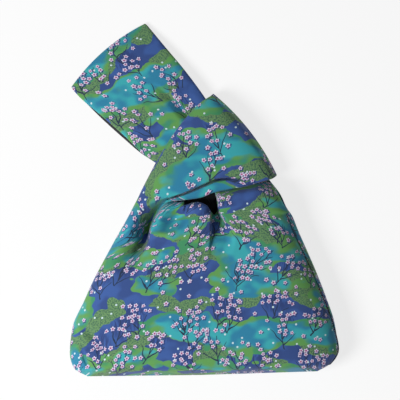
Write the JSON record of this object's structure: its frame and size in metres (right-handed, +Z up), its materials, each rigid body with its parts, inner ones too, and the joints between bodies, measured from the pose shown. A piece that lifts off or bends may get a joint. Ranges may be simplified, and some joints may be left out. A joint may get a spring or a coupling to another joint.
{
  "type": "knot wristlet bag",
  "caption": "Soft cloth knot bag lying on its back, a filled pouch with a long wrist loop passed through a short loop to close its mouth.",
  "frame": {"origin": "on the surface that the bag lies on, in the middle of the flat of its back", "axes": "+Z up from the surface through the bag, +Y from the bottom seam toward the end of the wrist loop, +X to the right as seen from above"},
  "size_m": [0.2136, 0.282, 0.041],
  "materials": {
    "printed_cotton": "matte printed cotton"
  },
  "bodies": {
    "root": {"front_panel": "printed_cotton", "back_panel": "printed_cotton"}
  },
  "joints": []
}
